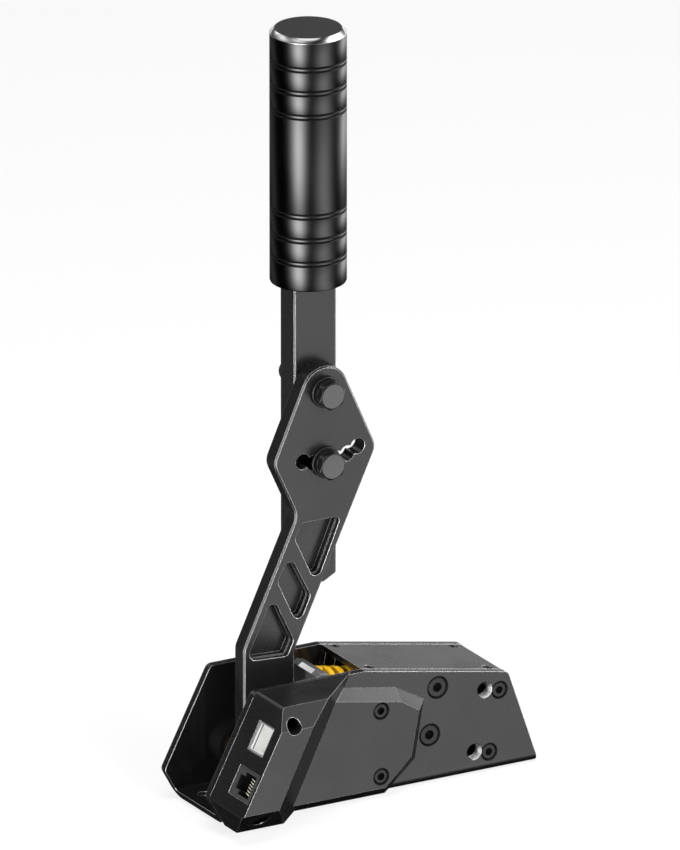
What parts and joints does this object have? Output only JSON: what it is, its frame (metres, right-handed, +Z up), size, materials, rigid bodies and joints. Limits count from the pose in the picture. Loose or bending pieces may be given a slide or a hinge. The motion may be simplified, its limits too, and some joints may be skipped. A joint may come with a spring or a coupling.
{
  "type": "sim racing handbrake",
  "caption": "Upright sim racing handbrake: a sprung lever with a tilting round grip on a bolt-down channel base, with a side housing for its data and cable sockets.",
  "frame": {"origin": "on the flat underside of the base channel, in the middle of its width, 78.9 mm ahead of its rear lower corner", "axes": "+X from the socket end to the rear, +Y from the side housing to the bare wall, +Z up from the surface the base is bolted to"},
  "size_m": [0.1573, 0.0794, 0.3302],
  "materials": {
    "black_coat": "fine black powder coat",
    "black_screws": "black oxide, slight sheen",
    "black_alloy": "black anodised, satin",
    "black_grip": "polished black anodised",
    "black_bolts": "dark burnished steel",
    "yellow_spring": "yellow enamel",
    "bright_steel": "ground",
    "block_alloy": "machined",
    "bronze": "plain bronze and brass",
    "nickel": "nickel plated",
    "black_rubber": "matt",
    "sleeve_plastic": "matt",
    "housing_plastic": "fine moulded grain",
    "board_green": "lacquered board"
  },
  "bodies": {
    "base": {"chassis": "black_coat", "top_cover": "black_coat", "cover_screws": "black_screws", "cover_tabs": "black_coat", "spring_block": "block_alloy", "guide_bush": "bronze", "block_screws": "black_screws", "rear_block": "black_alloy", "rear_screws": "black_screws", "bump_stop": "black_rubber", "spring": "yellow_spring", "pivot_bushes": "bronze", "rest_pad": "black_rubber", "side_housing": "housing_plastic", "pod_screws": "black_screws", "panel_screws": "black_screws", "usb_shell": "bright_steel", "usb_insert": "housing_plastic", "jack_housing": "housing_plastic", "jack_contacts": "bronze", "circuit_board": "board_green", "board_spacers": "bronze", "board_screws": "bright_steel", "sensor_board": "board_green"},
    "lever": {"lever_arm": "black_alloy", "hub_sleeves": "sleeve_plastic", "pivot_shaft": "bright_steel", "angle_magnet": "nickel"},
    "handle": {"handle_bar": "black_alloy", "grip": "black_grip", "grip_stud": "bright_steel", "tilt_bolt": "black_bolts", "tilt_washers": "black_bolts", "tilt_nut": "black_bolts", "lock_bolt": "black_bolts", "lock_washers": "black_bolts", "lock_nut": "black_bolts"},
    "plunger": {"plunger": "bright_steel", "rod_clip": "bright_steel"}
  },
  "joints": [
    {"name": "lever_pull", "type": "hinge", "parent": "base", "child": "lever", "pos_m": [-0.0405, 0, 0.0165], "axis": [0, 1, 0], "range_deg": [0, 18], "stiffness_Nm_per_rad": 20, "springref_deg": -5.73},
    {"name": "plunger_slide", "type": "slide", "parent": "base", "child": "plunger", "axis": [0.9833, 0, -0.1822], "range_m": [0, 0.0086], "deforming": ["spring"]},
    {"name": "handle_tilt", "type": "hinge", "parent": "lever", "child": "handle", "pos_m": [-0.014, 0, 0.1753], "axis": [0, 1, 0], "range_deg": [-30, 20]}
  ],
  "couplings": [
    {"joint": "plunger_slide", "follows": "lever_pull", "m_per_rad": 0.0272}
  ]
}
